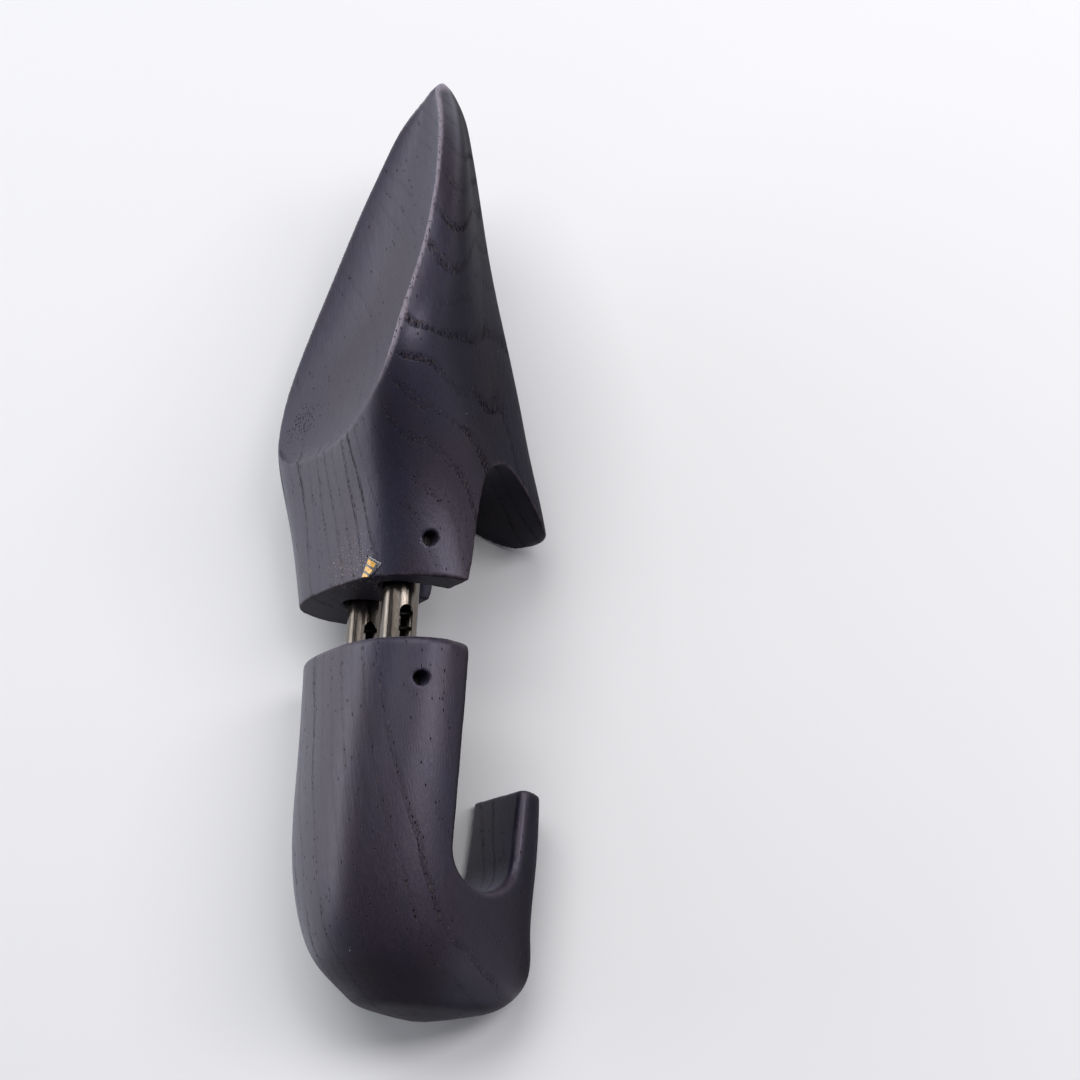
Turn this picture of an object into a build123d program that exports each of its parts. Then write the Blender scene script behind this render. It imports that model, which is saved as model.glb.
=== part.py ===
from build123d import *
import os

import numpy as np

os.makedirs("parts", exist_ok=True)

# Shoe tree for a right shoe, in millimetres.
#
# The tree is drawn in its own shoe frame: X runs from heel to toe along the tubes, Y to the
# inner (medial) side and Z up to the instep. X = 0 is the rear face of the forepart and the
# tube axes lie at Z = 0. At the end the whole tree is laid on its outer side, as it rests on a
# table, with its origin under the middle of its box.

# ---- driving dimensions ----
TUBE_D = 11.0             # outer diameter of each steel tube
TUBE_WALL = 1.0
TUBE_SPACING = 26.6       # between the two tube axes
TUBE_FRONT_X = 24.0       # end of the tubes inside the forepart
TUBE_REAR_X = -41.0       # end of the tubes inside the heel block
GAP = 18.5                # between the two blocks with the springs relaxed
TRAVEL = 18.0             # how far the heel block can be pushed in
PIN_D = 4.2               # cross pins
PIN_HOLE_D = 4.3          # their holes in the wood
FOREPART_PIN_X = 11.0
HEEL_PIN_X = -31.0
SLOT_WIDTH = 4.3          # slots in the tubes that the heel pin slides in
SLOT_FRONT_X = -6.2
BORE_CLEARANCE = 0.08     # radial, between tube and wood
SEAT_CLEARANCE = 0.02     # radial, where a piece is held fast
MOUTH_D = 14.5            # wider mouth of each bore in the forepart
MOUTH_DEPTH = 8.0
HEEL_BORE_X = -63.0       # bottom of the bores in the heel block
SPRING_WIRE_D = 1.1
SPRING_COIL_D = 7.4       # to the middle of the wire
SPRING_TURNS = 9.5
STICKER_THICKNESS = 0.2
# corners of the torn label, in X and Y of the shoe frame
STICKER_OUTLINE = [(6.3, 19.0), (3.6, 22.6), (0.2, 18.6), (0.5, 14.6)]
RING_POINTS = 48          # points round each hull section

# resting on a table: the roll about the toe axis and the small pitch that follows it
REST_ROLL = 128.95
REST_PITCH = -2.66

HEEL_FACE_X = -GAP
TOE_X = 167.2
HEEL_BACK_X = -125.3
NECK_ROUND = 2.2          # along the neck of the heel block and round the rim of its hook
FRONT_ROUND = 2.0         # round its front face
TIP_ROUND = 0.5           # round the tip of the hook
TUBE_Y = (TUBE_SPACING / 2, -TUBE_SPACING / 2)
SIDES = ("medial", "lateral")

# ---- stations of the carved hulls ----
# Each station is a closed smooth section at one X, through ten (Y, Z) points in this order:
# sole middle, sole outer corner, outer side, outer flank, outer shoulder, crest,
# inner shoulder, inner flank, inner side, sole inner corner.
FOREPART_STATIONS = [
    (0.0, [(-5, -17), (-33, -13.8), (-40.2, 1), (-34, 24), (-18, 44),
           (2, 55), (15, 50), (28, 31), (33.4, 9), (24, -8.5)]),
    (28.0, [(-2, -21), (-35.2, -19), (-42.3, -3), (-35, 22), (-18, 41.5),
            (3, 50.4), (14.5, 46), (27, 30), (36.5, 3), (32, -14)]),
    (50.0, [(0, -25), (-36.5, -24.3), (-43.5, -11), (-36, 13), (-18, 33.5),
            (4, 43.3), (15, 39), (30, 22), (45.5, -6), (42.5, -22)]),
    (64.0, [(2, -25.3), (-38, -23.6), (-43.5, -13), (-35, 10), (-17, 29.5),
            (5, 39), (15.5, 34.8), (31, 18), (51, -12), (48.5, -23.5)]),
    (86.0, [(4, -21.3), (-35.5, -20.2), (-40, -11), (-32, 8), (-14, 24),
            (6, 31.9), (16, 28), (33, 12), (51, -9), (48.5, -19.3)]),
    (110.0, [(6, -16), (-28.5, -14.4), (-32.5, -8), (-26, 5), (-10, 17.5),
             (8, 24.2), (17.5, 19.9), (31, 9), (48, -6.5), (45.5, -14.3)]),
    (132.0, [(9, -11.2), (-18, -10.4), (-21.5, -5), (-15, 5), (-3, 13.5),
             (9.5, 18.1), (18, 14.6), (28, 7), (40, -3), (38, -9.5)]),
    (150.0, [(11, -6.7), (-8, -6.3), (-11, -2.5), (-6, 4.5), (2, 10),
             (11.5, 13), (17, 10.8), (23, 6), (29.5, -0.5), (27.5, -5.2)]),
    (160.0, [(12, -3.8), (0.5, -3.3), (-1.2, -0.3), (2, 4), (7, 7.5),
             (12.5, 9), (15.5, 7.8), (19, 4.8), (22, 0.8), (20.5, -2.5)]),
    (164.6, [(13.3, -1.8), (8.7, -1.4), (7.8, 0.4), (9, 2.7), (11.2, 4.4),
             (13.5, 5), (15.5, 4.2), (17.4, 2.7), (18.3, 0.8), (17.2, -1)]),
    (TOE_X, [(14, 0.2), (13, 0.4), (12.6, 1), (12.9, 1.7), (13.5, 2.2),
             (14.1, 2.3), (14.8, 2), (15.2, 1.5), (15.3, 0.9), (14.8, 0.4)]),
]

HEEL_STATIONS = [
    (HEEL_BACK_X, [(2, 17.5), (0.2, 18), (-0.6, 19.2), (-0.3, 20.8), (0.8, 22),
                   (2.3, 22.5), (3.8, 21.9), (4.7, 20.4), (4.5, 18.8), (3.5, 17.8)]),
    (-123.5, [(2, 8), (-5, 10), (-8.5, 15.5), (-7.5, 22), (-3, 28),
              (4, 33), (9.5, 31), (12, 24.5), (11.5, 15.5), (7, 9.7)]),
    (-119.0, [(1, -1.5), (-11, 2), (-17.5, 11), (-15, 23), (-6, 37),
              (5.5, 44.8), (14.5, 41.8), (19, 29), (19, 13), (11, 1.5)]),
    (-112.0, [(0, -9.3), (-15, -4.5), (-24, 7), (-20, 22), (-8, 40),
              (6, 50), (16.8, 46.4), (23, 30), (25, 11), (15, -5)]),
    (-100.0, [(-1, -15.3), (-20, -9.8), (-30, 3), (-24, 20), (-10, 41),
              (6, 50.8), (17, 47), (26, 30), (29.5, 8), (18, -11)]),
    (-80.0, [(-3, -18), (-25, -12.3), (-34, 0), (-27, 19), (-12, 40),
             (6, 51.3), (17, 47.6), (27, 30), (32, 6), (21, -13)]),
    (-50.0, [(-4, -18), (-27, -12.3), (-34.8, 0), (-29, 19), (-14, 41),
             (6, 51), (17, 47.3), (28, 29), (33.8, 5), (22, -13)]),
    (HEEL_FACE_X, [(-5, -16.8), (-27, -13.2), (-34.6, 0), (-31, 19), (-17, 40),
                   (4, 49), (16, 45), (29, 26), (34.7, 4), (22, -11.3)]),
]

# The scooped hollow under the forefoot, an arch across the sole at each station:
# X, outer edge Y, inner edge Y, edge Z, depth.
HOLLOW_STATIONS = [
    (41.8, -4, 12, -24.2, 0.5), (43.0, -17, 25, -24.6, 2.0), (46.0, -27, 34.5, -25.2, 4.5),
    (51.0, -33, 43.5, -25.6, 7.5), (58.0, -37, 49.5, -25.6, 10.5), (70.0, -39.5, 52.8, -24.4, 13.5),
    (90.0, -37, 52.8, -20.2, 15.0), (112.0, -29, 49.0, -15.2, 13.0), (132.0, -19, 41.0, -10.9, 9.5),
    (150.0, -8, 29.8, -6.7, 6.0), (160.0, 0.8, 21.2, -4.0, 3.2), (165.0, 10, 17, -2.0, 1.2),
]

# the throat between forepart and its wing, and the hook in the heel, both seen from the side
NOTCH_WALL = [(0, 12.6), (14, 14.1), (27, 15.0), (35, 17.2),
              (39, 23), (37, 31), (31.4, 39.2), (25.4, 48.5)]
HOOK_TOP = (-57, 39.5)
HOOK_ROOT_TOP = (-77, 38)
HOOK_BACK = (-88.85, 26.15)
HOOK_ROOT_BOTTOM = (-77, 14.3)
NECK_TOP_Z = 15.0


def cubic(knots, values, places):
    """The natural cubic spline through values at knots, read at each of the places."""
    knots = np.asarray(knots, float)
    values = np.asarray(values, float)
    last = len(knots) - 1
    step = np.diff(knots)
    slopes = np.diff(values, axis=0) / step[:, None]
    matrix = np.eye(last + 1)
    right = np.zeros_like(values)
    for i in range(1, last):
        matrix[i, i - 1:i + 2] = step[i - 1], 2 * (step[i - 1] + step[i]), step[i]
        right[i] = 6 * (slopes[i] - slopes[i - 1])
    bend = np.linalg.solve(matrix, right)
    result = []
    for place in places:
        i = min(max(int(np.searchsorted(knots, place)) - 1, 0), last - 1)
        a = (knots[i + 1] - place) / step[i]
        b = 1 - a
        curve = (a**3 - a) * bend[i] + (b**3 - b) * bend[i + 1]
        result.append(a * values[i] + b * values[i + 1] + curve * step[i]**2 / 6)
    return np.array(result)


def ring(points, count):
    """A closed smooth curve through the points, as count points and the first one again."""
    points = np.asarray(points, float)
    wrapped = np.vstack([points[-3:], points, points[:4]])
    gaps = np.linalg.norm(np.diff(wrapped, axis=0), axis=1)
    along = np.concatenate([[0], np.cumsum(gaps**0.75)])
    places = np.linspace(along[3], along[3 + len(points)], count + 1)
    curve = cubic(along, wrapped, places)
    curve[-1] = curve[0]
    return curve


def hull(stations, rows):
    """A carved block: one smooth skin through the stations, flat at its first and last one."""
    tracks = [points for _, points in stations]
    flat = np.array(tracks, float).reshape(len(stations), -1)
    sections = cubic([x for x, _ in stations], flat, rows).reshape(len(rows), -1, 2)
    grid = [[(x, y, z) for y, z in ring(section, RING_POINTS)]
            for x, section in zip(rows, sections)]
    skin = Face.make_surface_from_array_of_points(grid)
    ends = [Face(Wire([edge])) for edge in skin.edges() if edge.is_closed]
    return Solid(Shell([skin] + ends))


def rows_between(blunt_x, square_x, depth, count):
    """Row places from a blunt end to a square one: close together over the blunt end's depth."""
    toward = 1 if square_x > blunt_x else -1
    round_part = [blunt_x + toward * depth * (1 - np.cos(t)) for t in np.linspace(0, np.pi / 2, 9)]
    straight = list(np.linspace(round_part[-1], square_x, count))[1:]
    return sorted(round_part + straight)


def across(x):
    """The plane across the tree at X, with Y to its right and Z up."""
    return Plane(origin=(x, 0, 0), x_dir=(0, 1, 0), z_dir=(1, 0, 0))


def side_cut(profile):
    """A profile in (X, Z) run right across the tree."""
    return extrude(Plane.XZ * make_face(profile), 100, both=True)


def rod(diameter, x_start, x_end, y=0.0):
    """A round bar along the tree."""
    return extrude(Plane.YZ.offset(x_start) * Pos(y, 0) * Circle(diameter / 2), x_end - x_start)


def cross_rod(diameter, x, y_start, y_end):
    """A round bar across the tree, from y_start up to y_end."""
    plane = Plane(origin=(x, y_start, 0), z_dir=(0, 1, 0))
    return extrude(plane * Circle(diameter / 2), y_end - y_start)


def hollow_cutter():
    """The scoop under the forefoot, lofted through its arches."""
    sections = []
    for x, outer, inner, edge_z, depth in HOLLOW_STATIONS:
        middle = (outer + inner) / 2
        arc = ThreePointArc((outer, edge_z), (middle, edge_z + depth), (inner, edge_z))
        below = Polyline((inner, edge_z), (inner, edge_z - 20),
                         (outer, edge_z - 20), (outer, edge_z))
        sections.append(across(x) * make_face(arc + below))
    return loft(sections)


def make_forepart():
    """The front block: carved hull, scooped sole, throat behind its wing, bores and pin hole."""
    block = hull(FOREPART_STATIONS, rows_between(TOE_X, 0, 14, 26)) - hollow_cutter()
    above = Polyline(NOTCH_WALL[-1], (NOTCH_WALL[-1][0], 70), (-5, 70), (-5, 12.6), NOTCH_WALL[0])
    block -= side_cut(Spline(*NOTCH_WALL) + above)
    for y in TUBE_Y:
        block -= rod(TUBE_D + 2 * SEAT_CLEARANCE, -1, TUBE_FRONT_X, y)
        block -= rod(MOUTH_D, -1, MOUTH_DEPTH, y)
        # each mouth stands open into the notch above it
        block -= Pos(MOUTH_DEPTH / 2 - 0.5, y, 10) * Box(MOUTH_DEPTH + 1, MOUTH_D, 20)
    return block - cross_rod(PIN_HOLE_D, FOREPART_PIN_X, -60, 60)


def make_heel():
    """The rear block: carved hull with its hook, bores and pin hole."""
    block = hull(HEEL_STATIONS, rows_between(HEEL_BACK_X, HEEL_FACE_X, 16, 18))
    neck = Polyline(HOOK_ROOT_TOP, HOOK_TOP, (HOOK_TOP[0], 80), (-10, 80),
                    (-10, NECK_TOP_Z), HOOK_ROOT_BOTTOM)
    block -= side_cut(neck + ThreePointArc(HOOK_ROOT_TOP, HOOK_BACK, HOOK_ROOT_BOTTOM))
    block = soften_heel(block)
    for y in TUBE_Y:
        block -= rod(TUBE_D + 2 * BORE_CLEARANCE, HEEL_BORE_X, HEEL_FACE_X + 1, y)
    return block - cross_rod(PIN_HOLE_D, HEEL_PIN_X, -60, 60)


def soften_heel(block):
    """Round the long edges of the heel's neck, the rim of its hook and its front face."""
    def extent(edge):
        return edge.bounding_box()

    neck = [e for e in block.edges()
            if extent(e).size.X > 40 and 10 < extent(e).min.Z and extent(e).max.Z < 17]
    block = block.fillet(NECK_ROUND, neck)
    front = [e for e in block.edges()
             if abs(extent(e).min.X - HEEL_FACE_X) < 0.02 and extent(e).size.X < 0.03]
    block = block.fillet(FRONT_ROUND, front)
    tip = [e for e in block.edges()
           if abs(extent(e).min.X - HOOK_TOP[0]) < 0.02 and extent(e).size.X < 0.03]
    return block.fillet(TIP_ROUND, tip)


def make_tube(y):
    """A steel tube, pinned in the forepart and slotted where the heel pin slides."""
    assert HEEL_PIN_X + TRAVEL + PIN_D / 2 < SLOT_FRONT_X
    tube = rod(TUBE_D, TUBE_REAR_X, TUBE_FRONT_X - 0.5, y)
    tube -= rod(TUBE_D - 2 * TUBE_WALL, -80, 80, y)
    tube -= cross_rod(PIN_D + 2 * SEAT_CLEARANCE, FOREPART_PIN_X, y - 8, y + 8)
    rear = HEEL_PIN_X - SLOT_WIDTH / 2 - 0.5
    slot = SlotOverall(SLOT_FRONT_X - rear, SLOT_WIDTH)
    plane = Plane(origin=((SLOT_FRONT_X + rear) / 2, y - 8, 0), x_dir=(1, 0, 0), z_dir=(0, 1, 0))
    return tube - extrude(plane * slot, 16)


def make_spring(y):
    """The coil between the two pins, inside its tube."""
    rear = HEEL_PIN_X + PIN_D / 2 + SPRING_WIRE_D / 2 + 0.3
    front = FOREPART_PIN_X - PIN_D / 2 - SPRING_WIRE_D / 2 - 0.05
    pitch = (front - rear) / SPRING_TURNS
    path = Helix(pitch, front - rear, SPRING_COIL_D / 2)
    wire = Plane(origin=path @ 0, z_dir=path % 0) * Circle(SPRING_WIRE_D / 2)
    return Pos(rear, y, 0) * Rot(0, 90, 0) * sweep(wire, path=path, is_frenet=True)


def make_sticker():
    """What is left of a clear label: a torn patch lying on the sole's inner rear corner."""
    bare = FOREPART_STATIONS[:3]
    grown = []
    for x, points in bare:
        outward = np.array(points, float) - np.mean(points, axis=0)
        outward /= np.linalg.norm(outward, axis=1)[:, None]
        grown.append((x, np.array(points) + STICKER_THICKNESS * outward))
    rows = list(np.linspace(0, 50, 12))
    layer = hull(grown, rows) - hull(bare, rows)
    patch = extrude(make_face(Polyline(*STICKER_OUTLINE, close=True)), -40)
    return layer & patch


def lay_down(pieces):
    """Turn the tree onto its outer side and put the origin under the middle of its box."""
    turn = Rot(0, REST_PITCH, 0) * Rot(REST_ROLL, 0, 0)
    turned = {name: turn * shape for name, shape in pieces.items()}
    corners = [tuple(point) for shape in turned.values()
               for point in shape.tessellate(0.03, 0.1)[0]]
    low, high = np.min(corners, axis=0), np.max(corners, axis=0)
    shift = Pos(-(low[0] + high[0]) / 2, -(low[1] + high[1]) / 2, -low[2])
    return {name: shift * shape for name, shape in turned.items()}


if __name__ == "__main__":
    pieces = {"forepart": make_forepart(), "heel_block": make_heel()}
    for side, y in zip(SIDES, TUBE_Y):
        pieces[f"tube_{side}"] = make_tube(y)
        pieces[f"spring_{side}"] = make_spring(y)
    pieces["forepart_pin"] = cross_rod(PIN_D, FOREPART_PIN_X, -33, 28)
    pieces["heel_pin"] = cross_rod(PIN_D, HEEL_PIN_X, -28, 26)
    pieces["size_sticker"] = make_sticker()
    pieces = lay_down(pieces)
    for name, shape in pieces.items():
        export_step(shape, f"parts/{name}.step")
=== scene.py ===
import math

import bpy
import numpy as np
from mathutils import Matrix, Vector


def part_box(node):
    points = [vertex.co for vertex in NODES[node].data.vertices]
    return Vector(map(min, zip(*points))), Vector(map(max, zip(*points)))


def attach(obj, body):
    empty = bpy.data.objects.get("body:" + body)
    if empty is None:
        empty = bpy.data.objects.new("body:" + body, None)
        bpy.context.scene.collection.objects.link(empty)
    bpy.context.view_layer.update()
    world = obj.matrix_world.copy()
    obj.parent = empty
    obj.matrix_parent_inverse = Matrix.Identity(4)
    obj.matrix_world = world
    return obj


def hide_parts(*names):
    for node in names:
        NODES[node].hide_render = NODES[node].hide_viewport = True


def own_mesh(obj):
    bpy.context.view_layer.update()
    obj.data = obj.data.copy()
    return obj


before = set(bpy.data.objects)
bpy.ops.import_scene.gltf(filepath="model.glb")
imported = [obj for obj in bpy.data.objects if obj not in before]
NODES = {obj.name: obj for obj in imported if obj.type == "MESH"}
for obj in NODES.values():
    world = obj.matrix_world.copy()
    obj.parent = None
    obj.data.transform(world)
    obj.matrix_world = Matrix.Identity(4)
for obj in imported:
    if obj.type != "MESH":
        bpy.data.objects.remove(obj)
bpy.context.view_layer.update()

# ---- the shoe frame: X to the toe along the tubes, Y to the inner side, Z to the instep ----
# Places and sizes are millimetres in it. The row frame is in metres, with the tree on its outer side.
MM = 0.001
REST_ROLL = math.radians(128.95)
REST_PITCH = math.radians(-2.66)
HEEL_PIN = (-31.0, -1.0, 0.0)            # middle of the cross pin in the heel block
FOREPART_PIN_X = 11.0
TUBE_Y = {"tube_medial": 13.3, "tube_lateral": -13.3}

turn = Matrix.Rotation(REST_PITCH, 3, "Y") @ Matrix.Rotation(REST_ROLL, 3, "X")
pin_low, pin_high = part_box("heel_pin")
pin_middle = (Vector(pin_low) + Vector(pin_high)) / 2
origin = pin_middle - turn @ Vector(HEEL_PIN) * MM
SHOE = Matrix.Translation(origin) @ turn.to_4x4()


# ---------------------------------------------------------------- mesh helpers
def new_object(name, data):
    obj = bpy.data.objects.new(name, data)
    bpy.context.scene.collection.objects.link(obj)
    return obj


def to_row(points):
    """Points of the shoe frame, in the row frame."""
    return points * MM @ np.array(turn).T + np.array(origin)


def to_shoe(points):
    return (points - np.array(origin)) @ np.array(turn) / MM


def vertex_values(mesh, what):
    flat = np.empty(len(mesh.vertices) * 3)
    mesh.vertices.foreach_get(what, flat)
    return flat.reshape(-1, 3)


def even_skin(node, name, voxel):
    """A new object with the CAD node's shape, its surface divided evenly."""
    mesh = NODES[node].data.copy()
    mesh.name = name
    mesh.transform(NODES[node].matrix_world)
    mesh.materials.clear()
    obj = new_object(name, mesh)
    remesh = obj.modifiers.new("even", "REMESH")
    remesh.mode = "VOXEL"
    remesh.voxel_size = voxel * MM
    evaluated = obj.evaluated_get(bpy.context.evaluated_depsgraph_get())
    mesh = bpy.data.meshes.new_from_object(evaluated)
    obj.modifiers.clear()
    obj.data = mesh
    return obj, to_shoe(vertex_values(mesh, "co"))


def place_vertices(mesh, row_points):
    mesh.vertices.foreach_set("co", row_points.ravel())
    mesh.update()


def finish_skin(mesh, material):
    mesh.materials.clear()
    mesh.materials.append(material)
    mesh.polygons.foreach_set("use_smooth", [True] * len(mesh.polygons))


def neighbours(mesh):
    """The pairs of joined vertices, and how many neighbours each vertex has."""
    pairs = np.empty(len(mesh.edges) * 2, dtype=np.int64)
    mesh.edges.foreach_get("vertices", pairs)
    pairs = pairs.reshape(-1, 2)
    count = np.bincount(pairs.ravel(), minlength=len(mesh.vertices)).astype(float)
    return pairs, np.maximum(count, 1)[:, None]


def relaxed(values, pairs, count, share, rounds):
    """Values moved by a share of the way to their neighbours' mean, round after round."""
    values = values.copy()
    for _ in range(rounds):
        total = np.zeros_like(values)
        np.add.at(total, pairs[:, 0], values[pairs[:, 1]])
        np.add.at(total, pairs[:, 1], values[pairs[:, 0]])
        values += share * (total / count - values)
    return values


def ramp(value, low, high):
    t = np.clip((value - low) / (high - low), 0, 1)
    return t * t * (3 - 2 * t)


def store(mesh, name, values):
    layer = mesh.attributes.new(name, "FLOAT", "POINT")
    layer.data.foreach_set("value", values.astype(np.float32))


# ---------------------------------------------------------------- node helpers
class Graph:
    """A material with one principled shader, and short names for the nodes that feed it."""

    def __init__(self, name):
        self.material = bpy.data.materials.new(name)
        self.material.use_nodes = True
        self.tree = self.material.node_tree
        self.tree.nodes.clear()
        output = self.tree.nodes.new("ShaderNodeOutputMaterial")
        self.shader = self.tree.nodes.new("ShaderNodeBsdfPrincipled")
        self.tree.links.new(self.shader.outputs[0], output.inputs[0])

    def put(self, socket, value):
        if isinstance(value, bpy.types.NodeSocket):
            self.tree.links.new(value, socket)
        else:
            socket.default_value = value

    def surface(self, **values):
        """Set the shader's sockets, each named with _ for a space."""
        for name, value in values.items():
            self.put(self.shader.inputs[name.replace("_", " ")], value)

    def node(self, kind, inputs=(), **settings):
        made = self.tree.nodes.new(kind)
        for key, value in settings.items():
            setattr(made, key, value)
        for key, value in dict(inputs).items():
            self.put(made.inputs[key], value)
        return made

    def math(self, operation, *values):
        return self.node("ShaderNodeMath", enumerate(values), operation=operation).outputs[0]

    def plus(self, first, second):
        return self.math("ADD", first, second)

    def minus(self, first, second):
        return self.math("SUBTRACT", first, second)

    def times(self, first, second):
        return self.math("MULTIPLY", first, second)

    def rest(self, value):
        return self.math("SUBTRACT", 1.0, value)

    def most(self, first, second):
        return self.math("MAXIMUM", first, second)

    def over(self, value, limit):
        return self.math("GREATER_THAN", value, limit)

    def under(self, value, limit):
        return self.math("LESS_THAN", value, limit)

    def near(self, value, middle, reach):
        return self.under(self.math("ABSOLUTE", self.minus(value, middle)), reach)

    def dot(self, place, way):
        made = self.node("ShaderNodeVectorMath", {0: place, 1: tuple(way)}, operation="DOT_PRODUCT")
        return made.outputs["Value"]

    def distance(self, place, point):
        made = self.node("ShaderNodeVectorMath", {0: place, 1: point}, operation="DISTANCE")
        return made.outputs["Value"]

    def stretch(self, place, scale):
        made = self.node("ShaderNodeVectorMath", {0: place, 1: scale}, operation="MULTIPLY")
        return made.outputs["Vector"]

    def join(self, parts):
        return self.node("ShaderNodeCombineXYZ", enumerate(parts)).outputs[0]

    def split(self, place):
        return self.node("ShaderNodeSeparateXYZ", {0: place}).outputs

    def noise(self, place, scale, detail=3.0, rough=0.55):
        made = self.node("ShaderNodeTexNoise", {"Vector": place, "Scale": scale, "Detail": detail,
                                                "Roughness": rough})
        return made.outputs["Fac"]

    def cells(self, place, scale):
        """The distance to the nearest cell's middle, and three random numbers of that cell."""
        made = self.node("ShaderNodeTexVoronoi", {"Vector": place, "Scale": scale}, feature="F1")
        colour = self.node("ShaderNodeSeparateColor", {0: made.outputs["Color"]})
        return made.outputs["Distance"], colour.outputs

    def band(self, value, low, high, from_value=0.0, to_value=1.0):
        made = self.node("ShaderNodeMapRange", {"Value": value, "From Min": low, "From Max": high,
                                                "To Min": from_value, "To Max": to_value},
                         interpolation_type="SMOOTHSTEP")
        return made.outputs[0]

    def mix(self, share, first, second):
        made = self.node("ShaderNodeMix", {0: share, 6: first, 7: second}, data_type="RGBA",
                         blend_type="MIX", clamp_factor=True)
        return made.outputs[2]

    def bump(self, height, strength, distance):
        made = self.node("ShaderNodeBump", {"Height": height, "Strength": strength, "Distance": distance})
        return made.outputs[0]

    def attribute(self, name):
        return self.node("ShaderNodeAttribute", attribute_name=name).outputs["Fac"]

    def shoe_place(self):
        """The place on the piece, in the shoe frame."""
        place = self.node("ShaderNodeTexCoord").outputs["Object"]
        place = self.node("ShaderNodeVectorMath", {0: place, 1: tuple(origin)},
                          operation="SUBTRACT").outputs["Vector"]
        return self.join([self.dot(place, turn.col[i] / MM) for i in range(3)])


def rgb(r, g, b):
    return (r, g, b, 1.0)


# ---------------------------------------------------------------- stained wood
GRAIN_NORMAL = Vector((0.19, 0.80, 0.57)).normalized()     # across the growth rings, at the tree's middle
RING_WIDTH = 5.6
PITH = 115.0                                               # to the middle of the trunk
RING_BEND_FROM = 35.0                                      # X from where the rings run out under the toe
RING_BEND = 0.0030
KNOT = (59.5, -27.0, -20.7)                                # a knotty spot in the hollow

BLUE_STAIN = rgb(0.0085, 0.0095, 0.0240)
BROWN_STAIN = rgb(0.0165, 0.0090, 0.0150)
FIBRE_STAIN = rgb(0.0060, 0.0050, 0.0090)
HAIR_STAIN = rgb(0.030, 0.023, 0.035)
LATE_WOOD = rgb(0.007, 0.006, 0.010)
RING_LINE = rgb(0.004, 0.003, 0.0045)
OPEN_PORE = rgb(0.0015, 0.001, 0.0015)
DUSTY_PORE = rgb(0.12, 0.085, 0.075)
SHADE_AND_REAR_DARK = rgb(0.004, 0.003, 0.007)
WORN_WOOD = rgb(0.085, 0.060, 0.066)
CHAMFER_PALE_AND_HIGHLIGHT = rgb(0.27, 0.235, 0.28)
GUM_GREY = rgb(0.36, 0.34, 0.36)
GUM_BROWN = rgb(0.38, 0.22, 0.09)
LINT = rgb(0.5, 0.5, 0.55)


def growth_rings(g, place, grain, across, sideways, hollow):
    """How much of early and of late wood there is at each place."""
    slow = g.noise(g.stretch(grain, (0.011, 0.02, 0.02)), 1.0, 2.0)
    fine = g.noise(g.stretch(grain, (0.06, 0.25, 0.25)), 1.0, 3.0)
    out = g.plus(across, PITH)
    radius = g.math("SQRT", g.plus(g.times(out, out), g.times(sideways, sideways)))
    # the trunk bends away under the toe, so the rings run out across it
    toeward = g.split(place)[0]
    bend = g.most(g.minus(toeward, RING_BEND_FROM), 0.0)
    bend = g.times(g.times(bend, bend), RING_BEND)
    rings = g.math("DIVIDE", g.plus(radius, bend), RING_WIDTH)
    rings = g.plus(rings, g.times(slow, 3.6))
    rings = g.plus(rings, g.times(fine, 0.20))
    phase = g.math("FRACT", rings)
    ring_random = g.node("ShaderNodeTexWhiteNoise", {"W": g.math("FLOOR", rings)},
                         noise_dimensions="1D").outputs["Value"]
    fade = g.noise(g.stretch(place, (0.022, 0.035, 0.035)), 1.0, 2.0)
    strength = g.times(g.band(ring_random, 0.25, 0.6, 0.22, 1.0), g.band(fade, 0.38, 0.58, 0.35, 1.0))
    strength = g.times(strength, g.band(toeward, -25.0, 40.0, 0.45, 1.0))
    strength = g.times(strength, g.rest(g.times(hollow, 0.9)))
    early = g.times(g.band(phase, 0.0, 0.04), g.band(phase, 0.14, 0.36, 1.0, 0.0))
    return g.times(early, strength), g.times(g.band(phase, 0.2, 1.0), strength)


def pores(g, place, grain, early, rim):
    """Short dashes along the grain, crowded in the early wood: the open ones, and the dusty ones."""
    middle, randoms = g.cells(g.stretch(grain, (0.62, 2.1, 2.1)), 1.0)
    knot = g.times(g.band(g.distance(place, KNOT), 2.0, 9.0, 1.0, 0.0), 0.62)
    crowd = g.plus(g.times(early, 0.95), knot)
    crowd = g.plus(crowd, g.times(rim, 0.38))
    crowd = g.over(g.plus(randoms[0], crowd), 0.985)
    open_ones = g.times(g.band(middle, 0.20, 0.44, 1.0, 0.0), crowd)
    dusty_here = g.over(g.plus(randoms[0], g.times(early, 0.36)), 1.03)
    return open_ones, g.times(g.band(middle, 0.40, 0.60, 1.0, 0.0), dusty_here)


def gum_crumbs(g, place, label):
    """Where a label was pulled off: how much gum and dust there is, and its colour."""
    middle, randoms = g.cells(place, 1.45)
    here = g.over(g.plus(randoms[0], g.times(label, 0.60)), 1.02)
    crumb = g.times(g.band(middle, 0.18, 0.42, 1.0, 0.0), here)
    return crumb, g.mix(randoms[1], GUM_GREY, GUM_BROWN)


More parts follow.
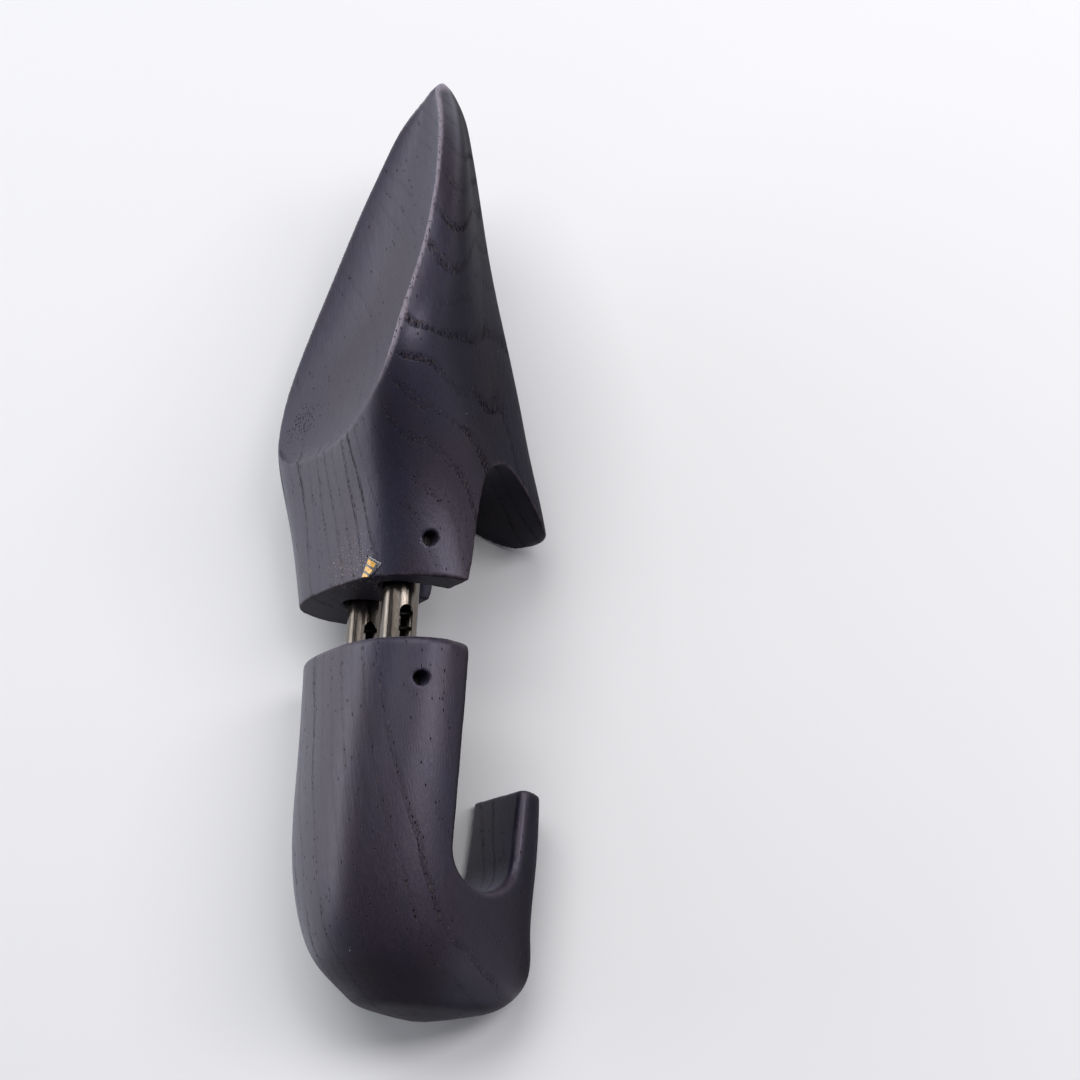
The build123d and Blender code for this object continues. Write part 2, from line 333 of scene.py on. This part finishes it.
def wood_material():
    g = Graph("stained_wood")
    place = g.shoe_place()
    along = (Vector((1, 0, 0)) - GRAIN_NORMAL * GRAIN_NORMAL.x).normalized()
    parts = [g.dot(place, way) for way in (along, GRAIN_NORMAL, along.cross(GRAIN_NORMAL))]
    grain = g.join(parts)
    hollow, rim, edge, label, painted_shade_and_rear = map(g.attribute, ("hollow", "rim", "edge", "label", "painted_shade_and_rear"))

    early, late = growth_rings(g, place, grain, parts[1], parts[2], hollow)
    broken = g.noise(g.stretch(grain, (0.5, 1.9, 1.9)), 1.0, 2.0)
    line = g.times(early, g.band(broken, 0.38, 0.60, 0.25, 1.0))
    pore, dusty = pores(g, place, grain, early, rim)
    hair = g.noise(g.stretch(grain, (0.06, 2.6, 2.6)), 1.0, 4.0, 0.65)
    fibre = g.noise(g.stretch(grain, (0.02, 0.8, 0.8)), 1.0, 3.0)

    # bluish grey-violet, browner in broad patches, darker in the early wood, with painted shade on the
    # sides turned towards the camera's right and on the rear-facing faces
    patch = g.noise(g.stretch(place, (0.016, 0.03, 0.03)), 1.0, 3.0)
    colour = g.mix(g.band(patch, 0.38, 0.64), BLUE_STAIN, BROWN_STAIN)
    for share, strength, tone in ((g.band(fibre, 0.35, 0.70), 0.5, FIBRE_STAIN),
                                  (g.band(hair, 0.45, 0.75), 0.35, HAIR_STAIN),
                                  (late, 0.22, LATE_WOOD),
                                  (line, 0.85, RING_LINE),
                                  (pore, 0.9, OPEN_PORE),
                                  (dusty, 0.45, DUSTY_PORE),
                                  (painted_shade_and_rear, 0.55, SHADE_AND_REAR_DARK)):
        colour = g.mix(g.times(share, strength), colour, tone)

    # worn edges, and a pale band on the chamfer round the hollow that is partly a painted highlight
    rubbed = g.noise(g.stretch(grain, (0.3, 1.1, 1.1)), 1.0, 4.0, 0.7)
    worn = g.times(g.band(edge, 0.15, 0.75), g.band(rubbed, 0.36, 0.62))
    colour = g.mix(g.times(worn, 0.40), colour, WORN_WOOD)
    pale_and_highlight = g.times(rim, g.band(rubbed, 0.30, 0.52, 0.45, 1.0))
    colour = g.mix(g.times(pale_and_highlight, g.minus(0.85, g.times(pore, 0.7))), colour, CHAMFER_PALE_AND_HIGHLIGHT)

    crumb, crumb_colour = gum_crumbs(g, place, label)
    colour = g.mix(g.times(crumb, 0.85), colour, crumb_colour)

    # a few specks of lint
    speck_middle, speck_randoms = g.cells(place, 0.13)
    speck = g.times(g.under(speck_middle, 0.026), g.over(speck_randoms[2], 0.62))
    colour = g.mix(g.times(speck, 0.6), colour, LINT)

    # open pores and ring lines are dull, and the painted shade also dulls the sides turned towards the
    # camera's right and the rear-facing faces
    dull = g.most(g.times(line, 0.9), pore)
    glossy = g.rest(g.most(dull, painted_shade_and_rear))
    shine = g.times(g.minus(0.62, g.times(dull, 0.55)), g.rest(g.times(painted_shade_and_rear, 0.88)))
    rough = g.plus(g.band(hair, 0.3, 0.75, 0.36, 0.48), g.most(g.times(dull, 0.35), g.times(painted_shade_and_rear, 0.2)))
    rough = g.plus(rough, g.times(g.plus(worn, g.plus(rim, hollow)), 0.08))
    relief = g.minus(0.0, g.plus(pore, g.times(line, 0.35)))
    relief = g.plus(relief, g.times(hair, 0.30))
    relief = g.plus(relief, g.times(crumb, 0.8))
    g.surface(Base_Color=colour, Roughness=rough, Normal=g.bump(relief, 0.8, 0.00035),
              Specular_IOR_Level=shine, Specular_Tint=rgb(0.86, 0.78, 1.0),
              Coat_Weight=g.times(0.10, glossy), Coat_Roughness=0.28,
              Sheen_Weight=g.times(0.20, glossy), Sheen_Roughness=0.35,
              Sheen_Tint=rgb(0.70, 0.72, 1.0))
    return g.material


# ---------------------------------------------------------------- metal
def steel_material(name, tint, rough, streak):
    """Drawn steel: fine lines along the tubes, and smears that dull and brown it; the darker lines and
    brown smears are partly painted reflection streaks.
    """
    g = Graph(name)
    place = g.shoe_place()
    lines = g.noise(g.stretch(place, (0.02, 2.2, 2.2)), 1.0, 4.0, 0.6)
    smears = g.noise(g.stretch(place, (0.12, 0.5, 0.5)), 1.0, 3.0)
    smear_and_reflection = rgb(tint[0] * 0.5, tint[1] * 0.45, tint[2] * 0.38)
    line_and_reflection_streak = rgb(tint[0] * 0.4, tint[1] * 0.36, tint[2] * 0.33)
    colour = g.mix(g.times(g.band(smears, 0.4, 0.75), 0.45), rgb(*tint), smear_and_reflection)
    colour = g.mix(g.times(g.band(lines, 0.5, 0.68), 0.55), colour, line_and_reflection_streak)
    g.surface(Base_Color=colour, Metallic=1.0, Normal=g.bump(lines, streak, 0.0001),
              Roughness=g.band(lines, 0.3, 0.7, rough * 0.7, rough * 1.3))
    return g.material


wood = wood_material()
# painted reflection: the nickel's colour is set far darker than nickel, for the dark wood and room it
# mirrors
nickel_painted_dark = steel_material("nickel_with_painted_reflection", (0.155, 0.135, 0.118), 0.15, 0.7)
# painted shade: the coil wire is coloured near black, for the shade inside the tubes
spring_wire_in_painted_shade = steel_material("spring_wire_in_painted_shade", (0.022, 0.020, 0.019), 0.5, 0.2)
pin_steel = steel_material("pin_steel", (0.035, 0.033, 0.032), 0.6, 0.3)


# ---------------------------------------------------------------- the two wooden blocks
WOOD_VOXEL = 0.5
PIN_HOLE_REACH = 4.2                   # round a pin hole's axis, where its rim stays sharp
BORE_RADIUS = 5.85                     # just clear of the tubes
BORE_CORE = 3.5                        # nearer the axis than this is a bore's blind end, not its wall
PAINTED_SHADE_SIDE = (0.05, 0.46, 0.885)      # the sides turned this way, towards the camera's right, get painted shade: darkest and dullest
LABEL_MIDDLE = np.array((6.0, 10.0, -15.5))
LABEL_REACH = np.array((6.0, 8.5, 8.0))


def pin_hole_rim(points, pin_x):
    """One at the rim of a cross hole, zero away from it."""
    away = np.hypot(points[:, 0] - pin_x, points[:, 2])
    return 1 - ramp(away, PIN_HOLE_REACH * 0.75, PIN_HOLE_REACH)


def hook_tip(points):
    """Where the heel's hook keeps a crisp edge."""
    return 0.8 * ramp(points[:, 0], -66, -60) * ramp(points[:, 2], 36, 40)


def heel_neck(points):
    """Where the heel's neck is rounded more, most of all behind its front face."""
    return ramp(points[:, 0], -82, -45) * ramp(points[:, 2], 7, 11)


def open_bores(points, x_low, x_high):
    """Keep the wood just clear of the tubes that run through it."""
    for y in TUBE_Y.values():
        dy = points[:, 1] - y
        dz = points[:, 2]
        r = np.hypot(dy, dz)
        inside = (r > BORE_CORE) & (r < BORE_RADIUS) & (points[:, 0] > x_low) & (points[:, 0] < x_high)
        push = np.where(inside, BORE_RADIUS / np.maximum(r, 1e-6), 1.0)
        points[:, 1] = y + dy * push
        points[:, 2] = dz * push
    return points


def carved_block(node, name, body, pin_x, bores, rounds, crisp=None, rounder=None):
    """A block as carved and sanded: the CAD solid with evened skin, softened edges and wear."""
    obj, points = even_skin(node, name, WOOD_VOXEL)
    mesh = obj.data
    joined = neighbours(mesh)
    hole = pin_hole_rim(points, pin_x)
    crispness = hole[:, None]
    if crisp is not None:
        crispness = np.maximum(crispness, crisp(points)[:, None])
    points = relaxed(points, *joined, 0.5 * (1 - 0.85 * crispness), rounds)
    if rounder is not None:
        weight = rounder(points)[:, None] * (1 - crispness)
        points = relaxed(points, *joined, 0.5 * weight, 30)

    # how sharply each place stands out from its wider surroundings
    place_vertices(mesh, to_row(points))
    normal = vertex_values(mesh, "normal") @ np.array(turn)
    soft = relaxed(points, *joined, 0.6, 26)
    edge = np.einsum("ij,ij->i", points - soft, normal) * (1 - hole)
    edge = relaxed(edge[:, None], *joined, 0.5, 3)[:, 0]

    points = open_bores(points, *bores)
    low, high = (np.array(corner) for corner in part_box(node))
    place_vertices(mesh, np.clip(to_row(points), low, high))
    x, y, z = points.T
    rim = np.clip((edge - 0.17) / 0.10, 0, 1) * ramp(x, 48, 64) * ramp(-z, -10, -3) * ramp(y, -4, 8)
    from_label = (((points - LABEL_MIDDLE) / LABEL_REACH) ** 2).sum(1)
    # painted shade: the sides turned towards the camera's right and the rear-facing faces are marked to
    # be coloured darker and duller
    shaded_side = ramp(normal @ np.array(PAINTED_SHADE_SIDE), 0.5, 0.95)
    rearward = ramp(-normal[:, 0], 0.35, 0.85)
    store(mesh, "hollow", ramp(x, 43, 50) * ramp(-normal[:, 2], 0.30, 0.62))
    store(mesh, "edge", np.clip(edge / 0.5, 0, 1))
    store(mesh, "rim", rim)
    store(mesh, "label", 1.7 * np.exp(-from_label))
    store(mesh, "painted_shade_and_rear", np.maximum(shaded_side, 0.85 * rearward))
    finish_skin(mesh, wood)
    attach(obj, body)
    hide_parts(node)


carved_block("forepart", "forepart_wood", "forepart_body", FOREPART_PIN_X, (-2, 23.6), 3)
carved_block("heel_block", "heel_wood", "heel_body", HEEL_PIN[0], (-62.6, -16), 4, hook_tip, heel_neck)


# ---------------------------------------------------------------- tubes and pins
def repaint(node, material):
    slots = NODES[node].material_slots
    for entry in slots:
        entry.material = material
    if not slots:
        NODES[node].data.materials.append(material)


for node in TUBE_Y:
    repaint(node, nickel_painted_dark)
for node in ("forepart_pin", "heel_pin"):
    repaint(node, pin_steel)


# ---------------------------------------------------------------- the sticker's torn film
FILM_VOXEL = 0.08
FILM_CORNER = (0.5, 14.6)              # where the film starts on the wood, X and Y
FILM_ALONG = (0.797, 0.604)            # the way its long edge runs, X and Y
BAR_START = 0.35
BAR_PITCH = 2.25
BAR_SHARE = 0.68                       # of each pitch that is gold
BARS_MIDDLE = 3.6                      # along the film, and how far they reach to either side
BARS_REACH = 3.2
BAR_HEIGHT_MIDDLE = 1.65               # across the film, and how far they reach to either side
BAR_HEIGHT_REACH = 1.35
CURL_REACH = 2.2
CURL_LIFT = 1.1
CURL_WAY = (0.25, 0.62, -0.74)
FRAY = 0.10

CLEAR_FILM = rgb(0.035, 0.034, 0.040)
CLOUDY_FILM = rgb(0.065, 0.063, 0.075)
TORN_EDGE = rgb(0.42, 0.41, 0.42)
GOLD = rgb(0.62, 0.33, 0.045)


def film_material():
    """Clear film over the dark wood, with three plain gold bars and a whitish torn edge."""
    g = Graph("torn_film")
    place = g.shoe_place()
    xyz = g.split(place)
    x, y = (g.minus(xyz[i], FILM_CORNER[i]) for i in range(2))
    cosine, sine = FILM_ALONG
    run = g.plus(g.times(x, cosine), g.times(y, sine))
    rise = g.minus(g.times(y, cosine), g.times(x, sine))
    ragged = g.noise(place, 2.3, 3.0)
    bars = g.under(g.math("FRACT", g.math("DIVIDE", g.minus(run, BAR_START), BAR_PITCH)), BAR_SHARE)
    bars = g.times(bars, g.near(run, BARS_MIDDLE, BARS_REACH))
    bars = g.times(bars, g.near(rise, BAR_HEIGHT_MIDDLE, BAR_HEIGHT_REACH))
    bars = g.times(bars, g.band(ragged, 0.28, 0.34))
    border = g.most(g.band(rise, 3.9, 4.4), g.band(run, 6.7, 7.1))
    border = g.most(border, g.band(run, 0.35, 0.05))
    colour = g.mix(g.band(ragged, 0.35, 0.7), CLEAR_FILM, CLOUDY_FILM)
    colour = g.mix(g.times(border, g.band(ragged, 0.3, 0.6)), colour, TORN_EDGE)
    colour = g.mix(bars, colour, GOLD)
    g.surface(Base_Color=colour, Metallic=g.times(bars, 0.35), Roughness=0.20, Coat_Weight=0.6,
              Coat_Roughness=0.08, Normal=g.bump(ragged, 0.35, 0.0004))
    return g.material


def torn_sticker():
    """The film as it lies on the wood, its outline frayed and one corner curled up."""
    obj, points = even_skin("size_sticker", "size_sticker_film", FILM_VOXEL)
    corner = points[np.argmin(points[:, 0] - 0.35 * points[:, 1])]
    lift = np.clip(1 - np.linalg.norm(points - corner, axis=1) / CURL_REACH, 0, 1) ** 2
    points += (CURL_LIFT * lift)[:, None] * np.array(CURL_WAY)
    x, y = points[:, 0], points[:, 1]
    fray = FRAY * np.sin(9.0 * x + 4.0 * y) * np.sin(5.3 * y - 2.0 * x)
    outward = (points - points.mean(0))[:, :2]
    far = np.linalg.norm(outward, axis=1)
    points[:, :2] += outward * (fray * ramp(far, 1.2, 3.0) / 3.0)[:, None]
    place_vertices(obj.data, to_row(points))
    finish_skin(obj.data, film_material())
    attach(obj, "forepart_body")
    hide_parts("size_sticker")


torn_sticker()


# ---------------------------------------------------------------- springs
SPRING_REAR = -28.05                   # X of the wire's axis at the two ends
SPRING_FRONT = 8.3
COIL_RADIUS = 3.7
WIRE_RADIUS = 0.55
TURNS = 9.5
END_CROWDING = 0.028                   # how much closer the turns lie at the ends
STEPS_PER_TURN = 46
WIRE_SIDES = 12


def spring(side, y):
    """An open coil round the tube's axis."""
    count = int(TURNS * STEPS_PER_TURN)
    t = np.linspace(0, 1, count + 1)
    angle = 2 * np.pi * TURNS * t
    x = SPRING_REAR + (SPRING_FRONT - SPRING_REAR) * (t - END_CROWDING * np.sin(2 * np.pi * t))
    centre = np.stack([x, y + COIL_RADIUS * np.cos(angle), COIL_RADIUS * np.sin(angle)], 1)
    radial = np.stack([np.zeros_like(t), np.cos(angle), np.sin(angle)], 1)
    tangent = np.gradient(centre, axis=0)
    tangent /= np.linalg.norm(tangent, axis=1)[:, None]
    upward = np.cross(tangent, radial)
    around = 2 * np.pi * np.arange(WIRE_SIDES) / WIRE_SIDES
    ring = np.cos(around)[:, None] * radial[:, None] + np.sin(around)[:, None] * upward[:, None]
    verts = (centre[:, None] + WIRE_RADIUS * ring).reshape(-1, 3)
    faces = []
    for i in range(count):
        for k in range(WIRE_SIDES):
            n = (k + 1) % WIRE_SIDES
            here, ahead = i * WIRE_SIDES, (i + 1) * WIRE_SIDES
            faces.append((here + k, here + n, ahead + n, ahead + k))
    faces.append(tuple(range(WIRE_SIDES))[::-1])
    faces.append(tuple(range(count * WIRE_SIDES, (count + 1) * WIRE_SIDES)))
    mesh = bpy.data.meshes.new(f"coil_{side}")
    mesh.from_pydata([tuple(v) for v in to_row(verts)], [], faces)
    for polygon in mesh.polygons:
        polygon.use_smooth = len(polygon.vertices) == 4
    mesh.materials.append(spring_wire_in_painted_shade)
    obj = new_object(f"coil_{side}", mesh)
    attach(obj, "forepart_body")
    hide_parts(f"spring_{side}")
    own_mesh(obj)


spring("medial", TUBE_Y["tube_medial"])
spring("lateral", TUBE_Y["tube_lateral"])


# ---------------------------------------------------------------- floor
FLOOR_REACH = 4                        # metres

floor_graph = Graph("pale_floor")
floor_graph.surface(Base_Color=rgb(0.91, 0.91, 0.92), Roughness=0.7)
floor_mesh = bpy.data.meshes.new("floor")
corners = [(x * FLOOR_REACH, y * FLOOR_REACH, 0) for x, y in ((-1, -1), (1, -1), (1, 1), (-1, 1))]
floor_mesh.from_pydata(corners, [], [(0, 1, 2, 3)])
floor_mesh.materials.append(floor_graph.material)
floor = new_object("floor", floor_mesh)


# ---------------------------------------------------------------- camera
# where it stands in the shoe frame, and the ways to its right and forward
CAMERA_PLACE = Vector((-172.3, 607.2, -254.0))
CAMERA_RIGHT = Vector((0.05140, 0.46318, 0.88477))
CAMERA_FORWARD = Vector((0.28204, -0.85661, 0.43205))

camera_data = bpy.data.cameras.new("camera")
camera_data.sensor_width = 36.0
camera_data.lens = 74.305667
camera_data.clip_start = 0.01
camera = new_object("camera", camera_data)
right = (turn @ CAMERA_RIGHT).normalized()
forward = (turn @ CAMERA_FORWARD).normalized()
up = right.cross(forward).normalized()
view = Matrix((right, up, -forward)).transposed().to_4x4()
camera.matrix_world = Matrix.Translation(SHOE @ (CAMERA_PLACE * MM)) @ view
bpy.context.scene.camera = camera


# ---------------------------------------------------------------- light
LIT_POINT = Vector((0, 0, 0.04))
ABOVE = Vector((0, 0, 1))
PICTURE_RIGHT = Vector((right.x, right.y, 0)).normalized()
PICTURE_BACK = ABOVE.cross(PICTURE_RIGHT)


def softbox(name, azimuth, elevation, distance, size, power, colour):
    """A light seen from the object at an azimuth from picture right towards the back."""
    a, e = math.radians(azimuth), math.radians(elevation)
    way = (PICTURE_RIGHT * math.cos(a) + PICTURE_BACK * math.sin(a)) * math.cos(e) + ABOVE * math.sin(e)
    data = bpy.data.lights.new(name, "AREA")
    data.shape = "RECTANGLE"
    data.size, data.size_y = size
    data.energy = power
    data.color = colour
    place = LIT_POINT + way * distance
    aim = (LIT_POINT - place).to_track_quat("-Z", "Y").to_matrix().to_4x4()
    new_object(name, data).matrix_world = Matrix.Translation(place) @ aim


softbox("right_box", 8, 50, 1.1, (0.28, 0.70), 5.0, (1.0, 0.98, 1.0))
softbox("left_box", 166, 13, 1.2, (1.2, 0.42), 6.6, (0.94, 0.97, 1.0))
softbox("top_box", 95, 60, 1.6, (1.3, 1.0), 13.5, (1.0, 1.0, 1.0))

world = bpy.data.worlds.new("studio")
bpy.context.scene.world = world
world.use_nodes = True
world.node_tree.nodes["Background"].inputs[0].default_value = (0.92, 0.93, 1.0, 1)
world.node_tree.nodes["Background"].inputs[1].default_value = 0.22

bpy.context.scene.view_settings.view_transform = "Standard"
